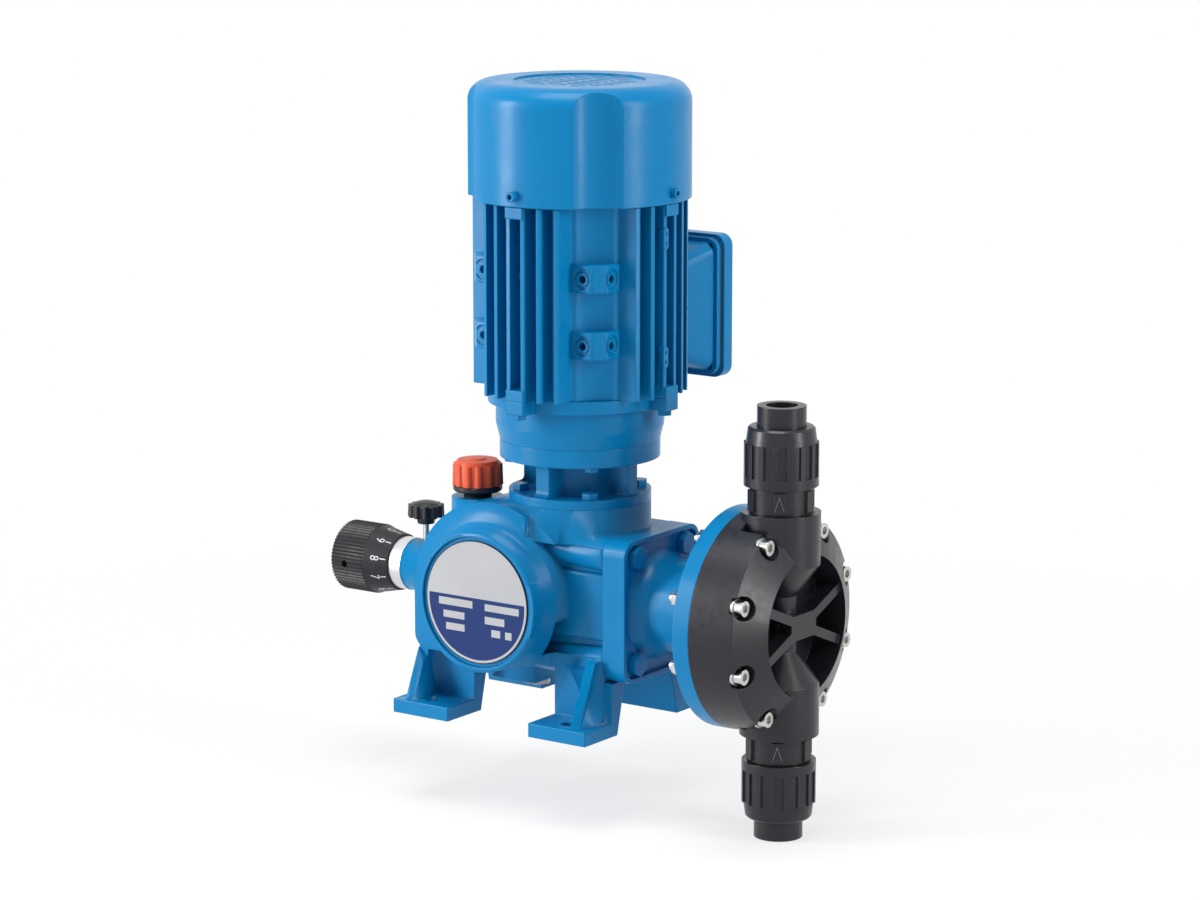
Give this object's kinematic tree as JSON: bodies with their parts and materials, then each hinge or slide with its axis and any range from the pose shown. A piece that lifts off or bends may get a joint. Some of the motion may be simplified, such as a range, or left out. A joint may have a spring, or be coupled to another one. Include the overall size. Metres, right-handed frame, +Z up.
{
  "type": "diaphragm metering pump",
  "caption": "Diaphragm metering pump: an upright finned motor on a lantern drives a worm gearbox with a stroke knob, and a plastic head with valves and union nuts.",
  "frame": {"origin": "centre of the four foot bolts, on the mounting plane under the feet", "axes": "+X along the pump axis towards the pump head, +Y towards the terminal box of the motor, +Z up along the motor axis"},
  "size_m": [0.3666, 0.1853, 0.4677],
  "materials": {
    "blue_paint": "smooth gloss enamel",
    "plate_print": "satin, printed in silver and navy",
    "black_plastic": "satin moulded",
    "grey_plastic": "satin moulded, very dark grey",
    "orange_plastic": "satin moulded",
    "stainless": "bright stainless",
    "steel": "ground steel",
    "silver_metal": "turned, satin",
    "bronze": "machined bronze",
    "winding": "enamelled winding wire",
    "laminations": "stacked sheet",
    "rubber": "matt",
    "ball": "polished"
  },
  "bodies": {
    "base": {"cable_gland": "black_plastic", "diaphragm": "rubber", "diaphragm_housing": "blue_paint", "drain_plug": "steel", "earth_screw": "stainless", "fan_cover": "blue_paint", "fan_cover_screws": "stainless", "flange_bolts": "stainless", "front_end_shield": "blue_paint", "gearbox_housing": "blue_paint", "head_nuts": "stainless", "head_screws": "stainless", "head_washers": "stainless", "lantern": "blue_paint", "lantern_bolts": "stainless", "motor_bearings": "steel", "motor_frame": "blue_paint", "pump_head": "grey_plastic", "rating_plate": "plate_print", "rear_end_shield": "blue_paint", "return_spring": "steel", "rod_bush": "bronze", "scale_sleeve": "silver_metal", "sealing_rings": "rubber", "shaft_seals": "rubber", "side_covers": "blue_paint", "socket_ends": "grey_plastic", "stator_core": "laminations", "stator_windings": "winding", "terminal_block": "black_plastic", "terminal_box": "blue_paint", "terminal_box_gasket": "rubber", "terminal_box_lid": "blue_paint", "terminal_box_screws": "stainless", "tie_screws": "stainless", "valve_bodies": "grey_plastic", "valve_seats": "grey_plastic", "vent_base": "black_plastic", "wheel_bearings": "steel", "worm_bearings": "steel"},
    "drive": {"motor_shaft": "steel", "rotor": "laminations", "cooling_fan": "black_plastic", "shaft_key": "steel", "worm_shaft": "steel"},
    "wheel": {"worm_wheel": "bronze", "wheel_shaft": "steel", "eccentrics": "steel", "cam_rings": "steel"},
    "plunger": {"push_yoke": "steel", "push_rod": "steel"},
    "stop": {"stop_pad": "steel"},
    "knob": {"stroke_knob": "black_plastic", "adjusting_spindle": "steel"},
    "lock": {"lock_screw": "black_plastic"},
    "vent": {"vent_cap": "orange_plastic"},
    "suction_valve": {"suction_ball": "ball"},
    "discharge_valve": {"discharge_ball": "ball"},
    "suction_nut": {"suction_union_nut": "grey_plastic"},
    "discharge_nut": {"discharge_union_nut": "grey_plastic"}
  },
  "joints": [
    {"name": "motor_spin", "type": "hinge", "parent": "base", "child": "drive", "pos_m": [0.0232, 0, 0.081], "axis": [0, 0, 1], "continuous": true},
    {"name": "wheel_spin", "type": "hinge", "parent": "base", "child": "wheel", "pos_m": [-0.0108, 0, 0.081], "axis": [0, 1, 0], "continuous": true},
    {"name": "plunger_stroke", "type": "slide", "parent": "base", "child": "plunger", "axis": [1, 0, 0], "range_m": [-0.005, 0], "stiffness_N_per_m": 8000, "springref_m": -0.012, "deforming": ["return_spring", "diaphragm"]},
    {"name": "knob_turn", "type": "hinge", "parent": "stop", "child": "knob", "pos_m": [-0.14, 0, 0.081], "axis": [1, 0, 0], "range_deg": [0, 1800]},
    {"name": "stop_slide", "type": "slide", "parent": "base", "child": "stop", "axis": [1, 0, 0], "range_m": [0, 0.005]},
    {"name": "lock_turn", "type": "hinge", "parent": "base", "child": "lock", "pos_m": [-0.102, 0, 0.1185], "axis": [0, 0, 1], "range_deg": [0, 360]},
    {"name": "vent_turn", "type": "hinge", "parent": "base", "child": "vent", "pos_m": [-0.041, -0.024, 0.155], "axis": [0, 0, 1], "range_deg": [0, 720]},
    {"name": "suction_ball_lift", "type": "slide", "parent": "base", "child": "suction_valve", "axis": [0, 0, 1], "range_m": [0, 0.003]},
    {"name": "discharge_ball_lift", "type": "slide", "parent": "base", "child": "discharge_valve", "axis": [0, 0, 1], "range_m": [0, 0.003]},
    {"name": "suction_nut_turn", "type": "hinge", "parent": "base", "child": "suction_nut", "pos_m": [0.17605, 0, -0.025], "axis": [0, 0, -1], "range_deg": [0, 1080]},
    {"name": "discharge_nut_turn", "type": "hinge", "parent": "base", "child": "discharge_nut", "pos_m": [0.17605, 0, 0.187], "axis": [0, 0, 1], "range_deg": [0, 1080]}
  ],
  "couplings": [
    {"joint": "wheel_spin", "follows": "motor_spin", "ratio": 0.066667},
    {"joint": "stop_slide", "follows": "knob_turn", "m_per_rad": 0.00015915}
  ]
}
